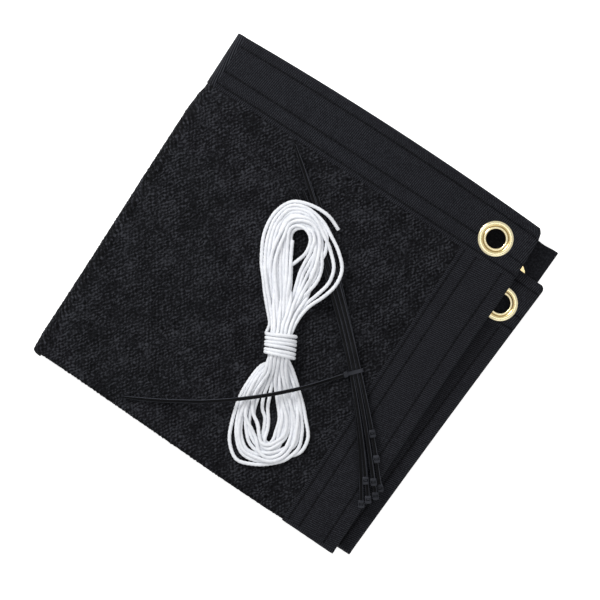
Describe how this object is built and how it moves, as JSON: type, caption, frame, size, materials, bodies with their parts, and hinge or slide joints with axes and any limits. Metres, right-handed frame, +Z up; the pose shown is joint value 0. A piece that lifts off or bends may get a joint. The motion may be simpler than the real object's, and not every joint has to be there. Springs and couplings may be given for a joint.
{
  "type": "folded windscreen panel",
  "caption": "Folded knitted windscreen panel for a court fence, with webbing hems and brass corner eyelets, and with a rope hank and a bundle of cable ties lying on it.",
  "frame": {"origin": "centre of the packet's underside, on the surface it lies on", "axes": "+Z up out of the packet, +Y along the spine towards the top hem, +X along the top hem towards the eyelets"},
  "size_m": [0.2584, 0.254, 0.0271],
  "materials": {
    "knitted_cloth": "matt knitted polyethylene mesh",
    "webbing": "ribbed woven tape with a slight sheen",
    "thread": "black sewing thread",
    "brass": "polished",
    "cable_tie": "glossy black nylon",
    "rope": "white braided cord"
  },
  "bodies": {
    "lower_half": {"front_turn_lower_cloth": "knitted_cloth", "front_turn_lower_hem": "webbing", "leaf_3_cloth": "knitted_cloth", "leaf_3_eyelet": "brass", "leaf_3_side_hem": "webbing", "leaf_3_stitching": "thread", "leaf_3_top_hem": "webbing", "leaf_3_washer": "brass", "leaf_4_cloth": "knitted_cloth", "leaf_4_eyelet": "brass", "leaf_4_side_hem": "webbing", "leaf_4_stitching": "thread", "leaf_4_top_hem": "webbing", "leaf_4_washer": "brass", "spine_inner_cloth": "knitted_cloth", "spine_inner_hem": "webbing", "spine_outer_cloth": "knitted_cloth", "spine_outer_hem": "webbing"},
    "upper_half": {"front_turn_upper_cloth": "knitted_cloth", "front_turn_upper_hem": "webbing", "leaf_1_cloth": "knitted_cloth", "leaf_1_eyelet": "brass", "leaf_1_side_hem": "webbing", "leaf_1_stitching": "thread", "leaf_1_top_hem": "webbing", "leaf_1_washer": "brass", "leaf_2_cloth": "knitted_cloth", "leaf_2_eyelet": "brass", "leaf_2_side_hem": "webbing", "leaf_2_stitching": "thread", "leaf_2_top_hem": "webbing", "leaf_2_washer": "brass"},
    "hank": {"rope_hank": "rope"},
    "tie_bundle": {"binding_tie": "cable_tie", "cable_tie_1": "cable_tie", "cable_tie_2": "cable_tie", "cable_tie_3": "cable_tie", "cable_tie_4": "cable_tie", "cable_tie_5": "cable_tie", "cable_tie_6": "cable_tie", "cable_tie_7": "cable_tie", "cable_tie_8": "cable_tie"}
  },
  "joints": [
    {"name": "left_fold", "type": "hinge", "parent": "lower_half", "child": "upper_half", "pos_m": [-0.12352, 0, 0.00595], "axis": [0, -1, 0], "range_deg": [0, 180], "deforming": ["spine_inner_cloth", "spine_inner_hem", "spine_outer_cloth", "spine_outer_hem"]},
    {"name": "hank_lift", "type": "slide", "parent": "upper_half", "child": "hank", "axis": [0, 0, 1], "range_m": [0, 0.2]},
    {"name": "tie_bundle_draw", "type": "slide", "parent": "hank", "child": "tie_bundle", "axis": [0.7408, -0.6717, 0], "range_m": [0, 0.2]}
  ]
}
